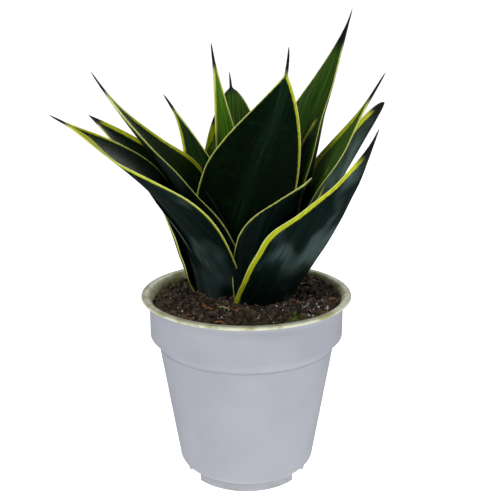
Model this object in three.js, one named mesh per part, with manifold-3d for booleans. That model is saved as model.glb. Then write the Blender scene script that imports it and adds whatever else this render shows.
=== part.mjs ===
// A young snake plant in a plastic nursery pot. Millimetres, +Z up, standing on Z = 0.
// The pot's front is towards -Y. Every leaf grows from one crown, a little behind the pot's axis.

import * as THREE from 'three';
import { mergeVertices } from 'three/addons/utils/BufferGeometryUtils.js';
import Module from 'manifold-3d';

const wasm = await Module();
wasm.setup();

// ---------------------------------------------------------------- driving dimensions

const GAP = 0.3; // clearance between two pieces that touch

// pot
const POT_HEIGHT = 95;
const LIP_RADIUS = 52.5;
const LIP_THICKNESS = 1.6;
const LIP_OVERHANG = 4; // how far the flared lip stands out past the collar
const FLARE_HEIGHT = 3.8; // of the curve under the lip
const COLLAR_HEIGHT = 19; // from the lip down to where the shoulder starts
const SHOULDER_HEIGHT = 6; // the curved step from the collar in to the body
const SHOULDER_STEP = 4.3; // how far the collar stands out past the body
const BODY_TAPER = 10; // how much smaller the body's radius is at its foot
const CORNER_RADIUS = 4;
const POT_WALL = 1.5;
const FOOT_INSET = 3.2; // how far the feet stand in from the body's foot
const FOOT_WIDTH = 3.5;
const FOOT_HEIGHT = 5;
const FOOT_COUNT = 3;
const FOOT_NOTCH = 12; // the straight gap between two feet
const DRAIN_COUNT = 6;
const DRAIN_RADIUS = 3;
const DRAIN_INSET = 6.5; // the base left between the feet and the drain holes
const DRAIN_SEGMENTS = 12;
const POT_SEGMENTS = 40;
const CORNER_STEPS = 3;
const SHOULDER_STEPS = 5;
const FLARE_STEPS = 4;

// potting mix
const SOIL_BELOW_RIM = 4.2; // mean depth of the mix under the rim
const SOIL_HEAP = 2; // how much the mix rises to one side of the pot, and falls at the other
const SOIL_HEAP_TOWARDS = 35; // degrees about +Z, from +X
const SOIL_LUMPS = 0.6; // height of the surface's low waves
const LUMP_WAVES = [[0.31, 0.17], [-0.11, 0.27]]; // radians per millimetre along X and Y
const SOIL_SEGMENTS = 28;
const SOIL_RINGS = [1, 0.82, 0.6, 0.36, 0.12]; // the surface's rings, as shares of its radius

// plant
const CROWN_X = 3;
const CROWN_BELOW_RIM = 5.5;
const ROOT_DEPTH = 8; // how far a leaf's foot is under the crown's level
const STEM_RADIUS = 28; // the short underground stem that every leaf grows from
const STEM_HEIGHT = 16;
const STEM_DEPTH = 4; // its top, under the crown's level
const STEM_ROOM = 5; // between the stem and the back of the pot's wall
const STEM_SEGMENTS = 20;
const BLADE_THICKNESS = 2.2; // along the spine
const BASE_THICKNESS = 2.6;
const MARGIN_THICKNESS = 0.8;
const TIP_WIDTH = 1.2;
const FULL_THICKNESS = [0.3, 0.6]; // shares of the length between which a blade is full thickness
const TAPER_POWER = 1.5; // how late a blade starts to narrow
const SPINE_HANDLE = 0.36; // the spine's curve handles, as a share of its length
const BLADE_ROWS = 12;
const BLADE_COLUMNS = 4;

// The leaves, the ones that keep their full outline first. Angles are in degrees and lengths in
// millimetres, from the crown.
//   at      direction of the leaf's foot from the crown, and foot its distance
//   swing   how far the tip's direction turns from the foot's
//   reach   the tip's distance from the crown, and rise its height above it
//   lean    the spine's slope from upright, at its foot and at its tip, where hook turns it
//   width   the blade's full width, and belly where that is, as a share of the length
//   base    the width at the foot, as a share of the full width
//   taper   1 gives a full, blunt blade, and 2 a long drawn-out one
//   awn     the share of the length that the thin horny point takes
//   cup     half the channel's angle at the middle and the tip; the foot's wraps the crown
//   face    the foot's turn about the upright, then roll and twist turn the blade about its spine
const LEAVES = {
  leaf_centre: { at: 149, foot: 11.3, swing: -144, hook: -30, reach: 17.7, rise: 124.3,
    lean: [18, 1], width: 49.5, belly: 0.5, base: 0.35, taper: 0.92, awn: 0.09, cup: [26, 42],
    face: -64, roll: -9, twist: 19 },
  leaf_front_right: { at: -49, foot: 17.6, swing: 13, hook: 0, reach: 69.4, rise: 89.7,
    lean: [34, 23], width: 62.6, belly: 0.38, base: 0.8, taper: 1.64, awn: 0, cup: [45, 15],
    face: -8, roll: 18, twist: -4 },
  leaf_front_left: { at: -154, foot: 19.9, swing: -18, hook: 0, reach: 97.5, rise: 93,
    lean: [13, 62], width: 52.1, belly: 0.46, base: 0.53, taper: 1.99, awn: 0, cup: [42, 16],
    face: 25, roll: 10, twist: -99 },
  leaf_front_small: { at: -80, foot: 17, swing: 27, hook: 0, reach: 45, rise: 67, lean: [4, 50],
    width: 34, belly: 0.45, base: 0.62, taper: 1.8, awn: 0, cup: [35, 40], face: 0, roll: 0,
    twist: 15 },
  leaf_tall_right: { at: 44, foot: 19, swing: -12, hook: 0, reach: 60.7, rise: 142.6,
    lean: [-3, 20], width: 45.8, belly: 0.45, base: 0.62, taper: 1.63, awn: 0, cup: [46, 32],
    face: -9, roll: -6, twist: 5 },
  leaf_upper_left: { at: 168, foot: 10.6, swing: 10, hook: 0, reach: 79, rise: 112.4, lean: [6, 33],
    width: 47, belly: 0.48, base: 0.62, taper: 2.37, awn: 0, cup: [52, 38], face: 12, roll: 8,
    twist: -25 },
  leaf_right: { at: 2, foot: 11.9, swing: 10, hook: 0, reach: 68.5, rise: 111.6, lean: [10, 31],
    width: 36.5, belly: 0.55, base: 0.62, taper: 2.8, awn: 0, cup: [24, 20], face: -13, roll: 2,
    twist: 34 },
  leaf_far_left: { at: 170, foot: 15, swing: 1, hook: 0, reach: 84.2, rise: 90.5, lean: [20, 53],
    width: 39.2, belly: 0.45, base: 0.55, taper: 1.07, awn: 0, cup: [38, 38], face: -6, roll: -4,
    twist: -14 },
  leaf_spear: { at: 113, foot: 17, swing: 27, hook: 0, reach: 27, rise: 126, lean: [4, 10],
    width: 22, belly: 0.4, base: 0.62, taper: 1.5, awn: 0, cup: [50, 40], face: 0, roll: 0,
    twist: 0 },
  leaf_heart: { at: 114, foot: 21.4, swing: 6, hook: 0, reach: 34.4, rise: 93.2, lean: [18, -14],
    width: 26.6, belly: 0.5, base: 0.43, taper: 0.76, awn: 0, cup: [42, 38], face: -4, roll: -3,
    twist: -3 },
  leaf_inner_left: { at: 187, foot: 7.2, swing: -21, hook: 0, reach: 31.3, rise: 60, lean: [10, 46],
    width: 13.1, belly: 0.38, base: 0.62, taper: 2.01, awn: 0, cup: [29, 35], face: 8, roll: 5,
    twist: 6 },
  leaf_back_left: { at: 132, foot: 26.8, swing: 11, hook: 0, reach: 59.2, rise: 99, lean: [-1, 45],
    width: 25.5, belly: 0.43, base: 0.62, taper: 1.89, awn: 0, cup: [28, 41], face: -44, roll: -9,
    twist: -4 },
  leaf_back_inner: { at: 107, foot: 28.3, swing: -1, hook: 0, reach: 44.3, rise: 110.4,
    lean: [9, 23], width: 41.1, belly: 0.4, base: 0.62, taper: 0.6, awn: 0.07, cup: [30, 27],
    face: -6, roll: -4, twist: -7 },
  leaf_back_right: { at: 24, foot: 14.7, swing: 1, hook: 0, reach: 41.9, rise: 96.3, lean: [0, 24],
    width: 17.8, belly: 0.46, base: 0.63, taper: 0.92, awn: 0, cup: [31, 28], face: -82, roll: -14,
    twist: -22 },
  leaf_outer_right: { at: 19, foot: 15.9, swing: -1, hook: 0, reach: 71.9, rise: 96.1,
    lean: [27, 36], width: 32.6, belly: 0.54, base: 0.61, taper: 0.6, awn: 0, cup: [39, 30],
    face: -10, roll: -7, twist: -37 },
  leaf_low_left: { at: 163, foot: 25.8, swing: 6, hook: 0, reach: 53.7, rise: 52.4, lean: [30, 43],
    width: 31.3, belly: 0.45, base: 0.61, taper: 1.49, awn: 0, cup: [33, 30], face: 1, roll: 0,
    twist: -4 },
  leaf_rear_right: { at: 74, foot: 24, swing: 0, hook: 0, reach: 64, rise: 84, lean: [24, 38],
    width: 40, belly: 0.45, base: 0.62, taper: 1.5, awn: 0, cup: [35, 35], face: 0, roll: 0,
    twist: 0 },
  leaf_rear_left: { at: 130, foot: 25, swing: -6, hook: 0, reach: 62, rise: 60, lean: [14, 52],
    width: 38, belly: 0.45, base: 0.55, taper: 1.4, awn: 0, cup: [35, 35], face: 0, roll: 0,
    twist: 0 },
};

// ---------------------------------------------------------------- looks

const POT_LOOK = { color: 0xb9bfc6, roughness: 0.45, metalness: 0 };
const SOIL_LOOK = { color: 0x2b2019, roughness: 0.95, metalness: 0 };
const LEAF_LOOK = { color: 0x1d3f24, roughness: 0.35, metalness: 0 };
const STEM_LOOK = { color: 0xb08a58, roughness: 0.7, metalness: 0 };

// ---------------------------------------------------------------- small helpers

const radians = THREE.MathUtils.degToRad;
const UP = new THREE.Vector3(0, 0, 1);

function heading(degrees, length = 1) {
  const angle = radians(degrees);
  return new THREE.Vector3(Math.cos(angle) * length, Math.sin(angle) * length, 0);
}

// A closed skin over a stack of rings. Every ring has the same even number of points, anticlockwise
// seen from the top of the stack, and each end is closed by a strip between the ring's two halves.
function skin(rings) {
  const count = rings[0].length;
  const faces = [];
  const quad = (a, b, c, d) => faces.push(a, b, c, a, c, d);
  for (let row = 0; row < rings.length - 1; row++) {
    const low = row * count;
    const high = low + count;
    for (let i = 0; i < count; i++) {
      const next = (i + 1) % count;
      quad(low + i, low + next, high + next, high + i);
    }
  }
  const top = (rings.length - 1) * count;
  for (let i = 0; i < count / 2 - 1; i++) {
    const across = count - 1 - i;
    quad(i, across, across - 1, i + 1);
    quad(top + i, top + i + 1, top + across - 1, top + across);
  }
  const geometry = new THREE.BufferGeometry().setFromPoints(rings.flat());
  geometry.setIndex(faces);
  return geometry;
}

function solid(geometry) {
  const bare = geometry.clone();
  bare.deleteAttribute('normal');
  bare.deleteAttribute('uv');
  const merged = mergeVertices(bare, 1e-4);
  return new wasm.Manifold(new wasm.Mesh({
    numProp: 3,
    vertProperties: new Float32Array(merged.attributes.position.array),
    triVerts: new Uint32Array(merged.index.array),
  }));
}

function largest(body) {
  const pieces = body.decompose();
  return pieces.reduce((best, piece) => (piece.volume() > best.volume() ? piece : best));
}

function geometryOf(body) {
  const mesh = body.getMesh();
  const geometry = new THREE.BufferGeometry();
  geometry.setAttribute('position', new THREE.BufferAttribute(mesh.vertProperties, 3));
  geometry.setIndex(new THREE.BufferAttribute(mesh.triVerts, 1));
  return geometry;
}

// ---------------------------------------------------------------- pot

const COLLAR_RADIUS = LIP_RADIUS - LIP_OVERHANG;
const BODY_TOP_RADIUS = COLLAR_RADIUS - SHOULDER_STEP;
const BODY_FOOT_RADIUS = BODY_TOP_RADIUS - BODY_TAPER;
const FOOT_RADIUS = BODY_FOOT_RADIUS - FOOT_INSET;
const DRAIN_CIRCLE = FOOT_RADIUS - FOOT_WIDTH - DRAIN_INSET - DRAIN_RADIUS;
const LIP_BOTTOM = POT_HEIGHT - LIP_THICKNESS;
const BODY_TOP = LIP_BOTTOM - COLLAR_HEIGHT - SHOULDER_HEIGHT;
const FLARE_BOTTOM = LIP_BOTTOM - FLARE_HEIGHT;

// The pot's side from the base's edge up to the lip, at a distance inside the outer surface. The
// flare at its top ends level, at the height given.
function potSide(inset, flareTop) {
  const side = [];
  const base = FOOT_HEIGHT + inset;
  const corner = CORNER_RADIUS - inset;
  const slope = (BODY_TOP_RADIUS - BODY_FOOT_RADIUS) / (BODY_TOP - FOOT_HEIGHT);
  for (let i = 0; i <= CORNER_STEPS; i++) {
    const turn = (i / CORNER_STEPS) * (Math.PI / 2);
    const radius = BODY_FOOT_RADIUS - inset - corner * (1 - Math.sin(turn)) + slope * corner;
    side.push(new THREE.Vector2(radius, base + corner * (1 - Math.cos(turn))));
  }
  for (let i = 0; i <= SHOULDER_STEPS; i++) {
    const share = i / SHOULDER_STEPS;
    const radius = BODY_TOP_RADIUS - inset + SHOULDER_STEP * share * share * (3 - 2 * share);
    side.push(new THREE.Vector2(radius, BODY_TOP + SHOULDER_HEIGHT * share));
  }
  const flare = LIP_OVERHANG - LIP_THICKNESS / 2;
  for (let i = 0; i <= FLARE_STEPS; i++) {
    const turn = (i / FLARE_STEPS) * (Math.PI / 2);
    const radius = COLLAR_RADIUS - inset + flare * (1 - Math.cos(turn));
    side.push(new THREE.Vector2(radius, FLARE_BOTTOM + (flareTop - FLARE_BOTTOM) * Math.sin(turn)));
  }
  return side;
}

function feet() {
  const outer = FOOT_RADIUS;
  const inner = FOOT_RADIUS - FOOT_WIDTH;
  const top = FOOT_HEIGHT + POT_WALL / 2;
  const ring = new THREE.LatheGeometry([
    new THREE.Vector2(inner, 0),
    new THREE.Vector2(outer, 0),
    new THREE.Vector2(outer, top),
    new THREE.Vector2(inner, top),
    new THREE.Vector2(inner, 0),
  ], POT_SEGMENTS).rotateX(Math.PI / 2);
  let body = solid(ring);
  for (let i = 0; i < FOOT_COUNT; i++) {
    const notch = new THREE.BoxGeometry(FOOT_RADIUS * 2, FOOT_NOTCH, FOOT_HEIGHT * 2);
    notch.translate(FOOT_RADIUS, 0, 0);
    notch.rotateZ(radians(90 + (360 / FOOT_COUNT) * i));
    body = body.subtract(solid(notch));
  }
  return body;
}

function pot() {
  const profile = [
    new THREE.Vector2(0, FOOT_HEIGHT),
    ...potSide(0, LIP_BOTTOM),
    new THREE.Vector2(LIP_RADIUS, LIP_BOTTOM + LIP_THICKNESS / 2),
    new THREE.Vector2(LIP_RADIUS - LIP_THICKNESS / 2, POT_HEIGHT),
    ...potSide(POT_WALL, POT_HEIGHT).reverse(),
    new THREE.Vector2(0, FOOT_HEIGHT + POT_WALL),
  ];
  const shell = new THREE.LatheGeometry(profile, POT_SEGMENTS).rotateX(Math.PI / 2);
  let body = solid(shell).add(feet());
  for (let i = 0; i < DRAIN_COUNT; i++) {
    const hole = new THREE.CylinderGeometry(DRAIN_RADIUS, DRAIN_RADIUS, POT_WALL * 4, DRAIN_SEGMENTS);
    const place = heading((360 / DRAIN_COUNT) * i, DRAIN_CIRCLE);
    hole.rotateX(Math.PI / 2);
    hole.translate(place.x, place.y, FOOT_HEIGHT + POT_WALL / 2);
    body = body.subtract(solid(hole));
  }
  return body;
}

// ---------------------------------------------------------------- plant

const CROWN = new THREE.Vector3(
  CROWN_X,
  COLLAR_RADIUS - POT_WALL - STEM_ROOM - STEM_RADIUS,
  POT_HEIGHT - CROWN_BELOW_RIM,
);

// The blade's half width at a share of its length, from 0 at the foot to 1 at the tip.
function halfWidth(leaf, share) {
  const half = leaf.width / 2;
  if (share < leaf.belly) {
    return half * (leaf.base + (1 - leaf.base) * Math.sin((Math.PI / 2) * (share / leaf.belly)));
  }
  const past = Math.min((share - leaf.belly) / (1 - leaf.awn - leaf.belly), 1);
  return Math.max(half * (1 - past ** TAPER_POWER) ** leaf.taper, TIP_WIDTH / 2);
}

// Half the channel's angle, blended from its values at the foot, the middle and the tip.
function cupAngle(leaf, share) {
  const foot = (leaf.base * leaf.width) / 2 / leaf.foot;
  const [middle, tip] = leaf.cup.map(radians);
  const blend = foot * (1 - share) * (1 - 2 * share) + middle * 4 * share * (1 - share);
  return blend + tip * share * (2 * share - 1);
}

function slopeAt(curve, share) {
  const [a, b, c, d] = [curve.v0, curve.v1, curve.v2, curve.v3];
  const slope = new THREE.Vector3();
  slope.addScaledVector(b.clone().sub(a), (1 - share) ** 2);
  slope.addScaledVector(c.clone().sub(b), 2 * (1 - share) * share);
  slope.addScaledVector(d.clone().sub(c), share ** 2);
  return slope.normalize();
}

function spineOf(leaf) {
  const foot = CROWN.clone().add(heading(leaf.at, leaf.foot)).addScaledVector(UP, -ROOT_DEPTH);
  const tip = CROWN.clone().add(heading(leaf.at + leaf.swing, leaf.reach)).addScaledVector(UP, leaf.rise);
  const handle = foot.distanceTo(tip) * SPINE_HANDLE;
  const rising = heading(leaf.at, Math.sin(radians(leaf.lean[0])));
  rising.addScaledVector(UP, Math.cos(radians(leaf.lean[0])));
  const ending = heading(leaf.at + leaf.swing + leaf.hook, Math.sin(radians(leaf.lean[1])));
  ending.addScaledVector(UP, Math.cos(radians(leaf.lean[1])));
  return new THREE.CubicBezierCurve3(
    foot,
    foot.clone().addScaledVector(rising, handle),
    tip.clone().addScaledVector(ending, -handle),
    tip,
  );
}

function thicknessAt(share) {
  const [start, end] = FULL_THICKNESS;
  if (share < start) return THREE.MathUtils.lerp(BASE_THICKNESS, BLADE_THICKNESS, share / start);
  if (share < end) return BLADE_THICKNESS;
  return THREE.MathUtils.lerp(BLADE_THICKNESS, TIP_WIDTH, (share - end) / (1 - end));
}

// The outline of the blade across its spine: the underside one way, then the upper side back.
function bladeRing(leaf, share, centre, across, normal, grow) {
  const half = halfWidth(leaf, share);
  const cup = cupAngle(leaf, share);
  const ring = [];
  for (const side of [-1, 1]) {
    for (let column = 0; column <= BLADE_COLUMNS; column++) {
      const place = (-side * (2 * column - BLADE_COLUMNS)) / BLADE_COLUMNS;
      const thick = THREE.MathUtils.lerp(MARGIN_THICKNESS, thicknessAt(share), 1 - place ** 2);
      const angle = cup * place;
      const out = (half * Math.sin(angle)) / cup + grow * place * Math.cos(angle);
      const lift = (half * (1 - Math.cos(angle))) / cup + grow * place * Math.sin(angle);
      const offset = side * (thick / 2 + grow);
      ring.push(centre.clone()
        .addScaledVector(across, out - offset * Math.sin(angle))
        .addScaledVector(normal, lift + offset * Math.cos(angle)));
    }
  }
  return ring;
}

// One blade: a channelled, tapering loft along its spine. grow makes it larger all round.
function blade(leaf, grow = 0) {
  const spine = spineOf(leaf);
  const side = heading(leaf.at + leaf.face + 90);
  const rings = [];
  for (let row = 0; row <= BLADE_ROWS; row++) {
    const share = row / BLADE_ROWS;
    const centre = spine.getPoint(share);
    const along = slopeAt(spine, share);
    side.addScaledVector(along, -side.dot(along)).normalize();
    const facing = new THREE.Vector3().crossVectors(along, side);
    const turn = radians(leaf.roll + leaf.twist * share);
    const across = side.clone().multiplyScalar(Math.cos(turn)).addScaledVector(facing, Math.sin(turn));
    const normal = facing.multiplyScalar(Math.cos(turn)).addScaledVector(side, -Math.sin(turn));
    if (row === 0) centre.addScaledVector(along, -grow);
    if (row === BLADE_ROWS) centre.addScaledVector(along, grow);
    rings.push(bladeRing(leaf, share, centre, across, normal, grow));
  }
  return solid(skin(rings));
}

function underground(grow = 0) {
  const stem = new THREE.SphereGeometry(1, STEM_SEGMENTS, STEM_SEGMENTS / 2).rotateX(Math.PI / 2);
  stem.scale(STEM_RADIUS + grow, STEM_RADIUS + grow, STEM_HEIGHT / 2 + grow);
  stem.translate(CROWN.x, CROWN.y, CROWN.z - STEM_DEPTH - STEM_HEIGHT / 2);
  return solid(stem);
}

// ---------------------------------------------------------------- potting mix

const SOIL_TOP = POT_HEIGHT - SOIL_BELOW_RIM;

function soilHeight(x, y) {
  const slope = heading(SOIL_HEAP_TOWARDS, SOIL_HEAP / COLLAR_RADIUS);
  const [first, second] = LUMP_WAVES.map(([alongX, alongY]) => x * alongX + y * alongY);
  const lumps = Math.sin(first) * Math.cos(second);
  return SOIL_TOP + slope.x * x + slope.y * y + SOIL_LUMPS * lumps;
}

// How wide the mix can be at a height: it follows the wall, and stays inside the flare.
function radiusAt(side, height) {
  const above = side.findIndex((point) => point.y > height);
  const low = side[above - 1];
  const high = side[above];
  const radius = THREE.MathUtils.mapLinear(height, low.y, high.y, low.x, high.x);
  return Math.min(radius, COLLAR_RADIUS - POT_WALL - GAP);
}

function soilRing(place) {
  const ring = [];
  for (let i = 0; i < SOIL_SEGMENTS; i++) {
    const direction = heading((360 / SOIL_SEGMENTS) * i);
    ring.push(place(direction));
  }
  return ring;
}

function soil() {
  const side = potSide(POT_WALL + GAP, POT_HEIGHT);
  const lowest = SOIL_TOP - SOIL_HEAP - SOIL_LUMPS;
  const rings = side.filter((point) => point.y < lowest).map(
    (point) => soilRing((out) => new THREE.Vector3(out.x * point.x, out.y * point.x, point.y)));
  for (const share of SOIL_RINGS) {
    rings.push(soilRing((out) => {
      const edge = radiusAt(side, SOIL_TOP);
      const height = soilHeight(out.x * edge * share, out.y * edge * share);
      const radius = radiusAt(side, height) * share;
      return new THREE.Vector3(out.x * radius, out.y * radius, height);
    }));
  }
  return solid(skin(rings));
}

// ---------------------------------------------------------------- assembly

function named(name, body, look) {
  const mesh = new THREE.Mesh(geometryOf(body), new THREE.MeshStandardMaterial(look));
  mesh.name = name;
  return mesh;
}

const plant = new THREE.Group();
plant.add(named('pot', pot(), POT_LOOK));

const stemRoom = underground(GAP);
let mix = soil().subtract(stemRoom);
const taken = [];
for (const [name, leaf] of Object.entries(LEAVES)) {
  let body = blade(leaf).subtract(stemRoom);
  for (const room of taken) body = body.subtract(room);
  plant.add(named(name, largest(body), LEAF_LOOK));
  const room = blade(leaf, GAP);
  mix = mix.subtract(room);
  taken.push(room);
}
plant.add(named('potting_mix', largest(mix), SOIL_LOOK));
plant.add(named('underground_stem', underground(), STEM_LOOK));

// The model stands centred on its bounding box.
const box = new THREE.Box3().setFromObject(plant);
plant.position.set(-(box.min.x + box.max.x) / 2, -(box.min.y + box.max.y) / 2, 0);
plant.updateMatrixWorld(true);

export default plant;
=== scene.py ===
"""The looks of a potted snake plant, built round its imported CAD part.

Shapes are worked out in millimetres from the pot's axis, as the CAD source does, and placed in the
CAD frame in metres. The pot stands on Z = 0 and its front is towards -Y.
"""
import math
import random

import bpy
import numpy as np
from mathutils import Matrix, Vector, noise


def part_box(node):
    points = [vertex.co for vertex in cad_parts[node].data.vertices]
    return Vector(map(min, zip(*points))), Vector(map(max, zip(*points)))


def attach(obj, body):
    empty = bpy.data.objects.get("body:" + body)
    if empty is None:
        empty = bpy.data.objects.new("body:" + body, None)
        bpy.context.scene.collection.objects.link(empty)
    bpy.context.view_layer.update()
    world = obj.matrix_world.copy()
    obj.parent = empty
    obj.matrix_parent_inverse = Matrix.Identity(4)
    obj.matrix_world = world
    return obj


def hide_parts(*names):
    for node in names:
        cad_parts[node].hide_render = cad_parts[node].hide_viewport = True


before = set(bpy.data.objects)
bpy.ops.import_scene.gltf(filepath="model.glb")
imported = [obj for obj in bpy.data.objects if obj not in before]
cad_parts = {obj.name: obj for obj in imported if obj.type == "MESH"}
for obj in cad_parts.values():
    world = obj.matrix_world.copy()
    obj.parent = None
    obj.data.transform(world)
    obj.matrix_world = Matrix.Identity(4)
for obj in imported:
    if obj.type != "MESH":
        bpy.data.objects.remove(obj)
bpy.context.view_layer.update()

# ------------------------------------------------------------------ sizes, in millimetres

MM = 0.001
pot_low, pot_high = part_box("pot")
AXIS = np.array([(pot_low.x + pot_high.x) / 2, (pot_low.y + pot_high.y) / 2, 0.0])
POT_HEIGHT = pot_high.z / MM
LIP_RADIUS = (pot_high.x - pot_low.x) / 2 / MM
LIP_THICKNESS = 1.6
LIP_OVERHANG = 4
FLARE_HEIGHT = 3.8
COLLAR_RADIUS = LIP_RADIUS - LIP_OVERHANG
COLLAR_HEIGHT = 19
SHOULDER_HEIGHT = 6
BODY_TOP_RADIUS = COLLAR_RADIUS - 4.3
BODY_FOOT_RADIUS = BODY_TOP_RADIUS - 10
CORNER_RADIUS = 4
POT_WALL = 1.5
FOOT_RADIUS = BODY_FOOT_RADIUS - 3.2
FOOT_WIDTH = 3.5
FOOT_HEIGHT = 5
FOOT_COUNT = 3
FOOT_NOTCH = 12
DRAIN_COUNT = 6
DRAIN_RADIUS = 3
DRAIN_CIRCLE = 18
BASE_DISH = 0.6  # how far the base's middle stands above its edge
FOOT_ROUND = 0.5
COLLAR_ROUND = 0.5
CORNER_DRAFT = 12  # degrees that the bottom corner's arc leaves out
FLARE_STEPS = 8

SOIL_TOP = POT_HEIGHT - 4.2
SOIL_HEAP = 2
SOIL_HEAP_TOWARDS = 35
SOIL_LUMPS = 0.6
SOIL_EDGE = COLLAR_RADIUS - POT_WALL - 0.1
SOIL_FLOOR = FOOT_HEIGHT + POT_WALL + 0.4
SOIL_SKIRT = ((30, SOIL_FLOOR), (42, 67), (SOIL_EDGE, 76))  # radius and height of the hidden sides

CROWN = np.array([3.0, 14.0, POT_HEIGHT - 5.5])
ROOT_DEPTH = 8
BLADE_THICKNESS = 2.2
BASE_THICKNESS = 2.6
CUSP_WIDTH = 2.0  # of the dark horny point that ends a blade
CUSP_SHARE = 0.12  # of the blade's length
HORN = 0.11  # the usual share of a blade that is dark at its tip
SPINE_HANDLE = 0.36
EDGE_THICKNESS = 0.75
GROOVE_DEPTH = 0.10
GROOVES = 9
ROW_CROWDING = 1.15  # over 1 sets a blade's rows closer together towards its tip
BODY_STATIONS = (0, 0.3, 0.6, 0.9, 1)  # shares of the length where the thickness is given
BODY_THICKNESS = (BASE_THICKNESS, BLADE_THICKNESS, BLADE_THICKNESS, 1.5, 0.5)
MARGIN_STATIONS = (0.15, 0.5, 0.82)  # shares of the length where a margin's width is given
KEEL_WIDTH = 3.2

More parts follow.
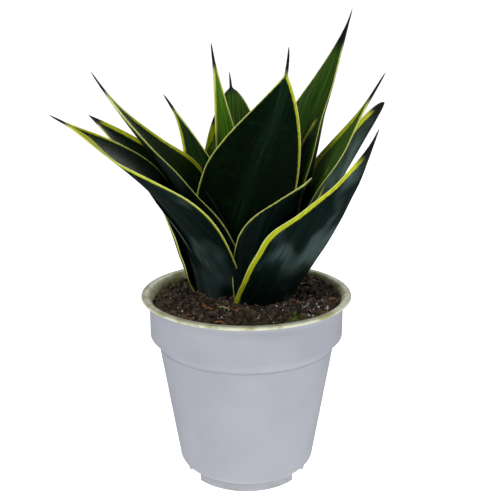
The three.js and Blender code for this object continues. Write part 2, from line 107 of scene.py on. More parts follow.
# The leaves, as in the CAD source: see there for what each value is. Beside them are the looks:
#   left and right  the yellow margin's width near the foot, the middle and the tip, on the side
#                   that is anticlockwise from the spine seen from above, and on the other
#   pale    how far the green goes to a light yellow green, part own colour, part painted glow of light through it
#   bloom   how grey and waxy the underside is, with a painted glossy sheen in that paler grey
#   horn    the share of the length that is dark and horny at the tip
LEAVES = {
    "leaf_centre": dict(at=149, foot=11.3, swing=-144, hook=-30, reach=17.7, rise=124.3, lean=(18, 1),
                        width=49.5, belly=0.5, base=0.35, taper=0.92, awn=0.09, cup=(26, 42), face=-64,
                        roll=-9, twist=19, left=(0.8, 0.6, 0.5), right=(0.5, 0.6, 1.6), pale=0,
                        bloom_and_sheen=0.2),
    "leaf_front_right": dict(at=-49, foot=17.6, swing=13, reach=69.4, rise=89.7, lean=(34, 23),
                             width=62.6, belly=0.38, base=0.8, taper=1.64, cup=(45, 15), face=-8,
                             roll=18, twist=-4, left=(1, 1.6, 2.4), right=(2.3, 2.4, 2.2), pale=0,
                             bloom_and_sheen=0.75, horn=0.15),
    "leaf_front_left": dict(at=-154, foot=19.9, swing=-18, reach=97.5, rise=93, lean=(13, 62),
                            width=52.1, belly=0.46, base=0.53, taper=1.99, cup=(42, 16), face=25,
                            roll=10, twist=-99, left=(0.7, 1.0, 3.8), right=(0, 0.6, 1.4), pale=0,
                            bloom_and_sheen=0.6, horn=0.09),
    "leaf_front_small": dict(at=-80, foot=17, swing=27, reach=45, rise=67, lean=(4, 50), width=34,
                             belly=0.45, base=0.62, taper=1.8, cup=(35, 40), twist=15,
                             left=(0.5, 0.5, 0.5), right=(0.5, 0.5, 0.5), pale=0, bloom_and_sheen=0.3, horn=0.02),
    "leaf_tall_right": dict(at=44, foot=19, swing=-12, reach=60.7, rise=142.6, lean=(-3, 20),
                            width=45.8, belly=0.45, base=0.62, taper=1.63, cup=(46, 32), face=-9,
                            roll=-6, twist=5, left=(0.5, 0.5, 0.4), right=(0.5, 0.5, 0.4), pale=0.35,
                            bloom_and_sheen=0.3, horn=0.14),
    "leaf_upper_left": dict(at=168, foot=10.6, swing=10, reach=79, rise=112.4, lean=(6, 33), width=47,
                            belly=0.48, base=0.62, taper=2.37, cup=(52, 38), face=12, roll=8, twist=-25,
                            left=(0.5, 0.5, 0.9), right=(1.4, 2.2, 1.6), pale=0.05, bloom_and_sheen=0.4),
    "leaf_right": dict(at=2, foot=11.9, swing=10, reach=68.5, rise=111.6, lean=(10, 31), width=36.5,
                       belly=0.55, base=0.62, taper=2.8, cup=(24, 20), face=-13, roll=2, twist=34,
                       left=(5.5, 6.0, 3.5), right=(0.6, 0.6, 0.8), pale=0.45, bloom_and_sheen=0.7, horn=0.14),
    "leaf_far_left": dict(at=170, foot=15, swing=1, reach=84.2, rise=90.5, lean=(20, 53), width=39.2,
                          belly=0.45, base=0.55, taper=1.07, cup=(38, 38), face=-6, roll=-4, twist=-14,
                          left=(0, 0, 0.8), right=(1, 2.0, 2.6), pale=0, bloom_and_sheen=0.7, horn=0.08),
    "leaf_spear": dict(at=113, foot=17, swing=27, reach=27, rise=126, lean=(4, 10), width=22, belly=0.4,
                       base=0.62, taper=1.5, cup=(50, 40), left=(1.8, 1.8, 1), right=(0.5, 0.6, 0.5),
                       pale=0.75, bloom_and_sheen=0.2),
    "leaf_heart": dict(at=114, foot=21.4, swing=6, reach=34.4, rise=93.2, lean=(18, -14), width=26.6,
                       belly=0.5, base=0.43, taper=0.76, cup=(42, 38), face=-4, roll=-3, twist=-3,
                       left=(5, 5.5, 4), right=(0.8, 1, 1), pale=0.25, bloom_and_sheen=0.2),
    "leaf_inner_left": dict(at=187, foot=7.2, swing=-21, reach=31.3, rise=60, lean=(10, 46), width=13.1,
                            belly=0.38, base=0.62, taper=2.01, cup=(29, 35), face=8, roll=5, twist=6,
                            left=(0, 0, 0), right=(0.5, 0.5, 0.4), pale=0, bloom_and_sheen=0.2),
    "leaf_back_left": dict(at=132, foot=26.8, swing=11, reach=59.2, rise=99, lean=(-1, 45), width=25.5,
                           belly=0.43, base=0.62, taper=1.89, cup=(28, 41), face=-44, roll=-9, twist=-4,
                           left=(2.0, 2.2, 1.2), right=(0.4, 0.4, 0.4), pale=0.1, bloom_and_sheen=0.5),
    "leaf_back_inner": dict(at=107, foot=28.3, swing=-1, reach=44.3, rise=110.4, lean=(9, 23),
                            width=41.1, belly=0.4, base=0.62, taper=0.6, awn=0.07, cup=(30, 27),
                            face=-6, roll=-4, twist=-7, left=(0.4, 0.4, 0.4), right=(0.4, 0.4, 0.4),
                            pale=0.4, bloom_and_sheen=0.9),
    "leaf_back_right": dict(at=24, foot=14.7, swing=1, reach=41.9, rise=96.3, lean=(0, 24), width=17.8,
                            belly=0.46, base=0.63, taper=0.92, cup=(31, 28), face=-82, roll=-14,
                            twist=-22, left=(0.5, 0.5, 0.5), right=(2.4, 2.4, 1.4), pale=0,
                            bloom_and_sheen=1),
    "leaf_outer_right": dict(at=19, foot=15.9, swing=-1, reach=71.9, rise=96.1, lean=(27, 36),
                             width=32.6, belly=0.54, base=0.61, taper=0.6, cup=(39, 30), face=-10,
                             roll=-7, twist=-37, left=(0.6, 0.8, 0.8), right=(2.4, 2.8, 2.4), pale=0.15,
                             bloom_and_sheen=0.8, horn=0.09),
    "leaf_low_left": dict(at=163, foot=25.8, swing=6, reach=53.7, rise=52.4, lean=(30, 43), width=31.3,
                          belly=0.45, base=0.61, taper=1.49, cup=(33, 30), face=1, twist=-4,
                          left=(1.6, 1.7, 1.3), right=(0, 0, 0), pale=0.1, bloom_and_sheen=0.5),
    "leaf_rear_right": dict(at=74, foot=24, reach=64, rise=84, lean=(24, 38), width=40, belly=0.45,
                            base=0.62, taper=1.5, cup=(35, 35), left=(1.4, 1.6, 1.2),
                            right=(1.4, 1.6, 1.2), pale=0.05, bloom_and_sheen=0.4),
    "leaf_rear_left": dict(at=130, foot=25, swing=-6, reach=62, rise=60, lean=(14, 52), width=38,
                           belly=0.45, base=0.55, taper=1.4, cup=(35, 35), left=(1.4, 1.6, 1.2),
                           right=(1.4, 1.6, 1.2), pale=0.05, bloom_and_sheen=0.4),
}
BLADE_ROWS = 96
BLADE_COLUMNS = 22
RUFFLE = 0.7

POT_SEGMENTS = 192
SOIL_RINGS = 110
SOIL_SEGMENTS = 260

# The camera, from the pot's axis, and the lights: name, place, width, watts and tint, in metres.
CAMERA_PLACE = np.array([1.85, -383, 221])
CAMERA_DIP = 15.3
LENS = 57.6
SENSOR_WIDTH = 36
LIGHT_AIM = (0, 0, 0.11)
LIGHTS = (
    ("key", (-0.55, -0.75, 0.95), 0.6, 6.0, (1.0, 0.99, 0.98)),
    ("fill", (0.85, -0.45, 0.5), 0.8, 3.0, (1.0, 0.99, 0.98)),
    ("back", (0.15, 0.9, 0.75), 0.7, 3.2, (1.0, 1.0, 1.0)),
)
WORLD_LIGHT = 0.12
WORLD_SEEN = 1.1  # how bright the world is where the camera sees it
FLOOR_REACH = 3.0
FLOOR_GLOW = 0.97

# A Mix node has its sockets once for every kind of data, so the ones for colours go by number.
MIX_FIRST = 6
MIX_SECOND = 7
MIX_RESULT = 2

# ------------------------------------------------------------------ small helpers


def heading(degrees, length=1.0):
    angle = math.radians(degrees)
    return np.array([math.cos(angle) * length, math.sin(angle) * length, 0.0])


def smooth(low, high, value):
    share = np.clip((value - low) / (high - low), 0, 1)
    return share * share * (3 - 2 * share)


def new_mesh(name, points, faces):
    """A mesh object from points in millimetres about the pot's axis."""
    mesh = bpy.data.meshes.new(name)
    mesh.from_pydata((np.asarray(points, float) * MM + AXIS).tolist(), [], faces)
    mesh.validate()
    made = bpy.data.objects.new(name, mesh)
    bpy.context.scene.collection.objects.link(made)
    return made


def finish_piece(made, material, sharp=40):
    mesh = made.data
    mesh.polygons.foreach_set("use_smooth", [True] * len(mesh.polygons))
    mesh.set_sharp_from_angle(angle=math.radians(sharp))
    mesh.materials.clear()
    mesh.materials.append(material)
    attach(made, "root")


def attribute(made, name, values):
    """Stores one number for each vertex, or one vector, for the material to read."""
    values = np.asarray(values, np.float32)
    kind, field = ("FLOAT", "value") if values.ndim == 1 else ("FLOAT_VECTOR", "vector")
    made.data.attributes.new(name, kind, "POINT").data.foreach_set(field, values.ravel())


def grid_faces(rows, columns, closed):
    """Quads over a grid of points, row by row, where each row may close on itself."""
    faces = []
    for row in range(rows - 1):
        for column in range(columns if closed else columns - 1):
            after = (column + 1) % columns
            faces.append((row * columns + column, row * columns + after,
                          (row + 1) * columns + after, (row + 1) * columns + column))
    return faces


# ------------------------------------------------------------------ materials


class Nodes:
    """A short way to write a material's nodes."""

    def __init__(self, name, roughness):
        self.material = bpy.data.materials.new(name)
        self.material.use_nodes = True
        self.tree = self.material.node_tree
        self.shader = self.tree.nodes["Principled BSDF"]
        self.shader.inputs["Roughness"].default_value = roughness

    def add(self, kind, **settings):
        node = self.tree.nodes.new(kind)
        for key, value in settings.items():
            setattr(node, key, value)
        return node

    def link(self, source, target):
        self.tree.links.new(source, target)

    def set(self, socket, value):
        """Links a socket's value, or sets it to a number or a colour."""
        if isinstance(value, bpy.types.NodeSocket):
            self.link(value, socket)
        else:
            socket.default_value = value

    def value(self, name):
        return self.add("ShaderNodeAttribute", attribute_name=name).outputs["Fac"]

    def vector(self, name):
        return self.add("ShaderNodeAttribute", attribute_name=name).outputs["Vector"]

    def place(self):
        return self.add("ShaderNodeTexCoord").outputs["Object"]

    def stretched(self, source, scale):
        node = self.add("ShaderNodeVectorMath", operation="MULTIPLY")
        self.set(node.inputs[0], source)
        node.inputs[1].default_value = scale
        return node.outputs[0]

    def noise(self, source, scale, detail=4.0, rough=0.55, distortion=0.0):
        node = self.add("ShaderNodeTexNoise")
        self.link(source, node.inputs["Vector"])
        node.inputs["Scale"].default_value = scale
        node.inputs["Detail"].default_value = detail
        node.inputs["Roughness"].default_value = rough
        node.inputs["Distortion"].default_value = distortion
        return node.outputs["Fac"]

    def cells(self, source, scale):
        node = self.add("ShaderNodeTexVoronoi")
        self.link(source, node.inputs["Vector"])
        node.inputs["Scale"].default_value = scale
        return node.outputs

    def math(self, operation, first, second=0.0):
        node = self.add("ShaderNodeMath", operation=operation)
        self.set(node.inputs[0], first)
        self.set(node.inputs[1], second)
        return node.outputs[0]

    def ramp(self, source, low, high, start=0.0, end=1.0):
        """From start to end, smoothly, as the source goes from low to high."""
        node = self.add("ShaderNodeMapRange", interpolation_type="SMOOTHSTEP")
        self.set(node.inputs["Value"], source)
        node.inputs["From Min"].default_value = low
        node.inputs["From Max"].default_value = high
        node.inputs["To Min"].default_value = start
        node.inputs["To Max"].default_value = end
        return node.outputs["Result"]

    def mix(self, share, first, second):
        node = self.add("ShaderNodeMix", data_type="RGBA")
        self.set(node.inputs["Factor"], share)
        self.set(node.inputs[MIX_FIRST], first)
        self.set(node.inputs[MIX_SECOND], second)
        return node.outputs[MIX_RESULT]

    def height(self, name):
        node = self.add("ShaderNodeSeparateXYZ")
        self.link(self.place(), node.inputs[0])
        return node.outputs[name]

    def bump(self, height, distance, strength=1.0):
        node = self.add("ShaderNodeBump")
        node.inputs["Distance"].default_value = distance
        node.inputs["Strength"].default_value = strength
        self.link(height, node.inputs["Height"])
        self.link(node.outputs[0], self.shader.inputs["Normal"])

    def colour(self, source):
        self.link(source, self.shader.inputs["Base Color"])

    def roughness(self, source):
        self.link(source, self.shader.inputs["Roughness"])


def rgb(red, green, blue):
    return (red, green, blue, 1.0)


def leaf_material():
    """Dark mottled green above, blue grey and striped below, with streaky yellow margins; the grey waxy
    patches below carry a painted sheen, and the pale leaves' light yellow green is partly a painted glow
    of light through the blade.
    """
    n = Nodes("snake_plant_leaf", 0.35)
    across_along = n.vector("leaf_place")
    upper = n.value("leaf_upper")
    pale = n.value("leaf_pale")
    bloom_and_sheen = n.value("leaf_bloom_and_sheen")
    stripes = n.noise(n.stretched(across_along, (1.3, 0.03, 1.0)), 1.0, 5.0, 0.6)
    fine_stripes = n.noise(n.stretched(across_along, (5.0, 0.06, 1.0)), 1.0, 3.0)
    bands = n.noise(n.stretched(across_along, (0.09, 0.2, 1.0)), 1.0, 4.0, 0.6, 1.2)
    cloud = n.noise(n.stretched(across_along, (0.05, 0.03, 1.0)), 1.0, 2.0)

    dark = n.mix(n.ramp(bands, 0.45, 0.75), rgb(0.0003, 0.0055, 0.0008), rgb(0.001, 0.013, 0.002))
    dark = n.mix(n.ramp(stripes, 0.45, 0.8, 0.0, 0.5), dark, rgb(0.002, 0.026, 0.003))
    heart = n.math("MULTIPLY", n.value("leaf_keel"), n.ramp(stripes, 0.3, 0.7))
    dark = n.mix(n.math("MULTIPLY", heart, 0.5), dark, rgb(0.012, 0.055, 0.016))
    # The light yellow green of the pale leaves: partly their own paler green, partly a painted glow of
    # light shining through the blade.
    light = n.mix(n.ramp(stripes, 0.35, 0.65), rgb(0.02, 0.12, 0.004), rgb(0.15, 0.33, 0.012))
    top = n.mix(pale, dark, light)

    under = n.mix(n.ramp(stripes, 0.35, 0.7), rgb(0.0006, 0.0045, 0.0035), rgb(0.003, 0.015, 0.012))
    # The underside's grey waxy patches: a waxy bloom, and with it a painted glossy sheen in their paler
    # grey.
    waxy_and_sheen = n.mix(n.ramp(fine_stripes, 0.35, 0.7), rgb(0.018, 0.045, 0.044), rgb(0.12, 0.175, 0.165))
    waxy_and_sheen_share = n.math("MULTIPLY", bloom_and_sheen, n.ramp(cloud, 0.47, 0.66))
    under = n.mix(waxy_and_sheen_share, under, waxy_and_sheen)
    # The pale leaves' underside goes to a lighter green too: their own paler green with the same painted
    # glow of light shining through.
    under = n.mix(n.math("MULTIPLY", pale, 0.6), under, rgb(0.07, 0.14, 0.03))
    green = n.mix(upper, under, top)

    wander = n.math("MULTIPLY", n.math("SUBTRACT", stripes, 0.5), 1.6)
    inside = n.math("ADD", n.math("SUBTRACT", n.value("leaf_edge"), n.value("leaf_band")), wander)
    margin_share = n.math("MULTIPLY", n.ramp(inside, -0.35, 0.35, 1.0, 0.0),
                          n.ramp(n.value("leaf_band"), 0.05, 0.3))
    yellow = n.mix(n.ramp(stripes, 0.35, 0.7), rgb(0.36, 0.42, 0.004), rgb(0.66, 0.68, 0.02))
    yellow = n.mix(n.ramp(fine_stripes, 0.55, 0.75, 0.0, 0.45), yellow, rgb(0.12, 0.24, 0.01))
    rim = n.ramp(n.value("leaf_edge"), 0.1, 0.55, 1.0, 0.0)
    yellow = n.mix(n.math("MULTIPLY", rim, 0.8), yellow, rgb(0.74, 0.80, 0.34))
    body = n.mix(margin_share, green, yellow)

    spots = n.cells(n.stretched(across_along, (0.35, 0.3, 1.0)), 1.0)["Distance"]
    scar = n.math("MULTIPLY", n.ramp(spots, 0.03, 0.09, 1.0, 0.0), n.ramp(cloud, 0.5, 0.6))
    body = n.mix(n.math("MULTIPLY", scar, 0.55), body, rgb(0.10, 0.08, 0.04))
    tip = n.value("leaf_tip")
    body = n.mix(tip, body, rgb(0.008, 0.009, 0.006))
    n.colour(body)

    dull = n.math("ADD", fine_stripes, n.math("MULTIPLY", bands, 0.6))
    n.roughness(n.ramp(dull, 0.5, 1.1, 0.32, 0.56))
    relief = n.math("ADD", n.math("MULTIPLY", fine_stripes, 0.5), n.math("MULTIPLY", stripes, 0.9))
    n.bump(relief, 0.00035, 0.55)
    n.shader.inputs["Coat Weight"].default_value = 0.04
    n.shader.inputs["Coat Roughness"].default_value = 0.25
    n.shader.inputs["Specular IOR Level"].default_value = 0.13
    return n.material


def pot_material():
    """Pale cool plastic, a little cloudy, with algae and lime about the rim and scuffs below."""
    n = Nodes("pot_plastic", 0.42)
    place = n.place()
    cloud = n.noise(place, 18.0, 3.0)
    grain = n.noise(place, 1400.0, 2.0)
    blotch = n.noise(place, 95.0, 6.0, 0.65)
    height = n.height("Z")
    base = n.mix(n.ramp(cloud, 0.35, 0.65), rgb(0.40, 0.417, 0.482), rgb(0.447, 0.464, 0.518))
    top = POT_HEIGHT * MM
    streaks = n.noise(n.stretched(place, (1.0, 1.0, 0.12)), 260.0, 4.0)
    stain = n.math("MULTIPLY", n.ramp(height, top - 0.0135, top - 0.0012), n.ramp(streaks, 0.5, 0.72))
    base = n.mix(n.math("MULTIPLY", stain, 0.22), base, rgb(0.45, 0.46, 0.30))
    scuffs = n.noise(n.stretched(place, (1.0, 1.0, 3.0)), 240.0, 3.0)
    worn = n.math("MULTIPLY", n.ramp(scuffs, 0.62, 0.72), n.ramp(blotch, 0.5, 0.62))
    base = n.mix(n.math("MULTIPLY", worn, 0.35), base, rgb(0.38, 0.40, 0.42))
    inner = n.value("pot_inside")
    algae = n.mix(n.ramp(blotch, 0.38, 0.62), rgb(0.46, 0.46, 0.24), rgb(0.07, 0.075, 0.02))
    algae = n.mix(n.ramp(streaks, 0.46, 0.62, 0.0, 0.85), algae, rgb(0.035, 0.025, 0.015))
    base = n.mix(inner, base, algae)
    lip = n.value("pot_lip")
    lime = n.mix(n.ramp(blotch, 0.42, 0.66), rgb(0.78, 0.80, 0.60), rgb(0.42, 0.44, 0.16))
    base = n.mix(n.math("MULTIPLY", lip, n.ramp(streaks, 0.25, 0.5, 0.55, 1.0)), base, lime)
    dust = n.math("MULTIPLY", n.ramp(height, 0.006, 0.0, 0.0, 1.0), n.ramp(blotch, 0.4, 0.6))
    base = n.mix(n.math("MULTIPLY", dust, 0.4), base, rgb(0.30, 0.28, 0.24))
    n.colour(base)
    n.roughness(n.ramp(blotch, 0.3, 0.7, 0.36, 0.52))
    n.bump(n.math("ADD", n.math("MULTIPLY", grain, 0.25), blotch), 0.00012, 0.5)
    return n.material


def soil_material():
    """Dark moist peat: black crumbs, pale fibre and a few rusty patches."""
    n = Nodes("potting_mix", 0.9)
    place = n.place()
    patch = n.noise(place, 70.0, 3.0)
    crumb = n.noise(place, 620.0, 6.0, 0.7)
    cells = n.cells(place, 520.0)
    base = n.mix(n.ramp(crumb, 0.4, 0.66), rgb(0.004, 0.0035, 0.002), rgb(0.078, 0.060, 0.028))
    rusty = n.math("MULTIPLY", n.ramp(patch, 0.5, 0.7), n.ramp(crumb, 0.45, 0.6))
    base = n.mix(rusty, base, rgb(0.12, 0.075, 0.035))
    fibre = n.math("MULTIPLY", n.ramp(cells["Color"], 0.78, 0.9), 0.7)
    base = n.mix(fibre, base, rgb(0.22, 0.175, 0.10))
    n.colour(base)
    n.roughness(n.ramp(crumb, 0.3, 0.7, 0.7, 1.0))
    n.bump(n.math("ADD", crumb, n.math("MULTIPLY", cells["Distance"], 0.6)), 0.0012)
    return n.material


def grain_material(name, low, high, roughness, scale, relief):
    """A loose bit's material: two tones broken up by a noise, with each bit a little different."""
    n = Nodes(name, roughness)
    place = n.place()
    tone = n.noise(place, scale, 5.0, 0.6)
    own = n.value("bit_tone")
    share = n.math("ADD", n.math("MULTIPLY", tone, 0.6), n.math("MULTIPLY", own, 0.5))
    n.colour(n.mix(n.ramp(share, 0.3, 0.8), low, high))
    n.roughness(n.ramp(tone, 0.3, 0.7, roughness - 0.1, min(roughness + 0.1, 1.0)))
    n.bump(tone, relief)
    return n.material


def floor_material():
    n = Nodes("studio_floor", 0.8)
    tone = n.noise(n.place(), 3.0, 2.0)
    n.colour(n.mix(tone, rgb(0.78, 0.78, 0.78), rgb(0.80, 0.80, 0.80)))
    n.shader.inputs["Emission Color"].default_value = rgb(1.0, 1.0, 1.0)
    n.shader.inputs["Emission Strength"].default_value = FLOOR_GLOW
    return n.material


# ------------------------------------------------------------------ pot


def arc(centre, radius, start, end, steps):
    """Points on an arc in the profile's plane, with angles in degrees from outward to up."""
    points = []
    for i in range(steps + 1):
        angle = math.radians(start + (end - start) * i / steps)
        points.append((centre[0] + radius * math.cos(angle), centre[1] + radius * math.sin(angle)))
    return points


def eased(start, end, steps):
    """Points from one radius and height to another, leaving and arriving upright."""
    points = []
    for i in range(steps + 1):
        share = i / steps
        ease = share * share * (3 - 2 * share)
        points.append((start[0] + (end[0] - start[0]) * ease, start[1] + (end[1] - start[1]) * share))
    return points


def flare(inset, start, top, steps):
    """The wall's curve out to the lip, which ends level at a height."""
    points = []
    for i in range(steps + 1):
        turn = i / steps * math.pi / 2
        out = (LIP_OVERHANG - LIP_THICKNESS / 2) * (1 - math.cos(turn))
        points.append((COLLAR_RADIUS - inset + out, start + (top - start) * math.sin(turn)))
    return points


def pot_profile():
    """The wall's section, from under the base's middle round the outside to inside it."""
    lip_bottom = POT_HEIGHT - LIP_THICKNESS
    flare_bottom = lip_bottom - FLARE_HEIGHT
    shoulder_top = lip_bottom - COLLAR_HEIGHT
    body_top = shoulder_top - SHOULDER_HEIGHT
    slope = (BODY_TOP_RADIUS - BODY_FOOT_RADIUS) / (body_top - FOOT_HEIGHT)
    inner_foot = FOOT_RADIUS - FOOT_WIDTH
    outside = [(0, FOOT_HEIGHT + BASE_DISH), (inner_foot - 6, FOOT_HEIGHT + 0.4),
               (inner_foot - 0.8, FOOT_HEIGHT)]
    outside += arc((inner_foot + FOOT_ROUND, FOOT_ROUND), FOOT_ROUND, 180, 270, 4)
    outside += arc((FOOT_RADIUS - FOOT_ROUND, FOOT_ROUND), FOOT_ROUND, 270, 360, 4)
    outside.append((FOOT_RADIUS, FOOT_HEIGHT - 0.5))
    outside += arc((BODY_FOOT_RADIUS - CORNER_RADIUS + slope * CORNER_RADIUS, FOOT_HEIGHT + CORNER_RADIUS),
                   CORNER_RADIUS, 270 + CORNER_DRAFT, 360, 8)
    outside += [(BODY_TOP_RADIUS - slope * 1.2, body_top - 1.2), (BODY_TOP_RADIUS - 0.1, body_top - 0.3)]
    outside += arc((BODY_TOP_RADIUS - 0.1, body_top + 0.3), 0.4, -80, 60, 5)
    outside += eased((BODY_TOP_RADIUS + 0.15, body_top + 0.9),
                     (COLLAR_RADIUS - 1.3, shoulder_top - 0.9), 8)
    outside.append((COLLAR_RADIUS - 0.95, shoulder_top - 0.55))
    outside += arc((COLLAR_RADIUS - COLLAR_ROUND, shoulder_top + 0.1), COLLAR_ROUND, -90, 0, 5)
    outside += [(COLLAR_RADIUS, shoulder_top + 1.2), (COLLAR_RADIUS, flare_bottom - 1)]
    outside += flare(0, flare_bottom, lip_bottom, FLARE_STEPS)
    half = LIP_THICKNESS / 2
    lip = arc((LIP_RADIUS - half, lip_bottom + half), half, -60, 90, 8)
    inside = flare(POT_WALL, flare_bottom, POT_HEIGHT, FLARE_STEPS)[::-1]
    bore = COLLAR_RADIUS - POT_WALL
    inside.append((bore, shoulder_top))
    inside += eased((BODY_TOP_RADIUS - POT_WALL, body_top), (bore, shoulder_top), 6)[::-1]
    inside.append((BODY_FOOT_RADIUS - POT_WALL, FOOT_HEIGHT + CORNER_RADIUS))
    inside += [(BODY_FOOT_RADIUS - CORNER_RADIUS, FOOT_HEIGHT + POT_WALL), (0, FOOT_HEIGHT + POT_WALL)]
    return outside, lip, inside


def lathe(profile, segments):
    """Points and faces of a profile turned about the axis, which it starts and ends on."""
    rings = np.array(profile[1:-1])
    angles = np.linspace(0, 2 * math.pi, segments, endpoint=False)
    points = np.stack([np.outer(rings[:, 0], np.cos(angles)), np.outer(rings[:, 0], np.sin(angles)),
                       np.repeat(rings[:, 1:2], segments, axis=1)], axis=-1).reshape(-1, 3)
    faces = grid_faces(len(rings), segments, closed=True)
    ends = np.array([(0, 0, profile[0][1]), (0, 0, profile[-1][1])])
    last = (len(rings) - 1) * segments
    for i in range(segments):
        after = (i + 1) % segments
        faces.append((len(points), after, i))
        faces.append((len(points) + 1, last + i, last + after))
    return np.concatenate([points, ends]), faces


def box_points(low, high):
    corners = [(x, y, z) for z in (low[2], high[2])
               for y in (low[1], high[1]) for x in (low[0], high[0])]
    faces = [(0, 2, 3, 1), (4, 5, 7, 6), (0, 1, 5, 4), (2, 6, 7, 3), (0, 4, 6, 2), (1, 3, 7, 5)]
    return np.array(corners, float), faces


def turned(points, degrees):
    angle = math.radians(degrees)
    turn = np.array([[math.cos(angle), -math.sin(angle), 0],
                     [math.sin(angle), math.cos(angle), 0],
                     [0, 0, 1]])
    return points @ turn.T


def joined(parts):
    """Several (points, faces) pairs as one pair."""
    points, faces, start = [], [], 0
    for part_points, part_faces in parts:
        points.append(part_points)
        faces += [tuple(start + i for i in face) for face in part_faces]
        start += len(part_points)
    return np.concatenate(points), faces


def pot_cutters():
    """The gaps between the feet and the holes in the base, as one mesh."""
    parts = []
    near_side, far_side = 20, 40
    for i in range(FOOT_COUNT):
        points, faces = box_points((near_side, -FOOT_NOTCH / 2, -5),
                                   (far_side, FOOT_NOTCH / 2, FOOT_HEIGHT - BASE_DISH))
        parts.append((turned(points, 90 + 360 / FOOT_COUNT * i), faces))
    for i in range(DRAIN_COUNT):
        tube = [(0, -4), (DRAIN_RADIUS, -4), (DRAIN_RADIUS, FOOT_HEIGHT + 6), (0, FOOT_HEIGHT + 6)]
        points, faces = lathe(tube, 32)
        parts.append((points + heading(360 / DRAIN_COUNT * i, DRAIN_CIRCLE), faces))
    return new_mesh("cutters", *joined(parts))


def cut(target, cutter):
    modifier = target.modifiers.new("cut", "BOOLEAN")
    modifier.object = cutter
    modifier.operation = "DIFFERENCE"
    modifier.solver = "EXACT"
    graph = bpy.context.evaluated_depsgraph_get()
    mesh = bpy.data.meshes.new_from_object(target.evaluated_get(graph))
    target.modifiers.clear()
    target.data = mesh
    bpy.data.objects.remove(cutter)


def make_pot():
    outside, lip, inside = pot_profile()
    pot = new_mesh("pot_moulded", *lathe(outside + lip + inside, POT_SEGMENTS))
    cut(pot, pot_cutters())
    places = np.array([v.co for v in pot.data.vertices])
    local = (places - AXIS) / MM
    radius = np.hypot(local[:, 0], local[:, 1])
    wall = np.array([(height, out) for out, height in outside if out > BODY_FOOT_RADIUS])
    middle = np.interp(local[:, 2], wall[:, 0], wall[:, 1]) - POT_WALL / 2
    inner = (radius < middle) & (local[:, 2] > FOOT_HEIGHT + POT_WALL / 2)
    attribute(pot, "pot_inside", inner * smooth(LIP_RADIUS - 1.6, LIP_RADIUS - 2.8, radius))
    on_lip = smooth(LIP_RADIUS - 1.2, LIP_RADIUS - 0.4, radius) + inner
    attribute(pot, "pot_lip", np.minimum(on_lip, 1))
    finish_piece(pot, pot_material(), sharp=35)
    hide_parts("pot")


# ------------------------------------------------------------------ leaves


def spine_of(leaf, share):
    """Points along the leaf's spine, and the direction at each."""
    tip_heading = leaf["at"] + leaf.get("swing", 0)
    foot = CROWN + heading(leaf["at"], leaf["foot"]) - (0, 0, ROOT_DEPTH)
    tip = CROWN + heading(tip_heading, leaf["reach"]) + (0, 0, leaf["rise"])
    handle = np.linalg.norm(tip - foot) * SPINE_HANDLE
    low, high = (math.radians(angle) for angle in leaf["lean"])
    rising = heading(leaf["at"], math.sin(low)) + (0, 0, math.cos(low))
    ending = heading(tip_heading + leaf.get("hook", 0), math.sin(high)) + (0, 0, math.cos(high))
    a, b, c, d = foot, foot + rising * handle, tip - ending * handle, tip
    t = share[:, None]
    points = (1 - t) ** 3 * a + 3 * (1 - t) ** 2 * t * b + 3 * (1 - t) * t ** 2 * c + t ** 3 * d
    slope = (1 - t) ** 2 * (b - a) + 2 * (1 - t) * t * (c - b) + t ** 2 * (d - c)
    return points, slope / np.linalg.norm(slope, axis=1)[:, None]


def half_width(leaf, share):
    half = leaf["width"] / 2
    low = leaf["base"] + (1 - leaf["base"]) * np.sin(math.pi / 2 * np.clip(share / leaf["belly"], 0, 1))
    past = np.clip((share - leaf["belly"]) / (1 - leaf.get("awn", 0) - leaf["belly"]), 0, 1)
    blade_half = half * np.where(share < leaf["belly"], low, (1 - past ** 1.5) ** leaf["taper"])
    cusp = CUSP_WIDTH / 2 * np.clip((1 - share) / CUSP_SHARE, 0.01, 1) ** 0.6
    return np.where(share < 0.5, blade_half, np.maximum(blade_half, cusp))


def blade_frames(leaf, share, slope):
    """Across and facing directions at each row, carried along the spine and then turned."""
    side = heading(leaf["at"] + leaf.get("face", 0) + 90)
    across, facing = np.zeros_like(slope), np.zeros_like(slope)
    for row, along in enumerate(slope):
        side = side - along * side.dot(along)
        side /= np.linalg.norm(side)
        face = np.cross(along, side)
        turn = math.radians(leaf.get("roll", 0) + leaf.get("twist", 0) * share[row])
        across[row] = side * math.cos(turn) + face * math.sin(turn)
        facing[row] = face * math.cos(turn) - side * math.sin(turn)
    return across, facing


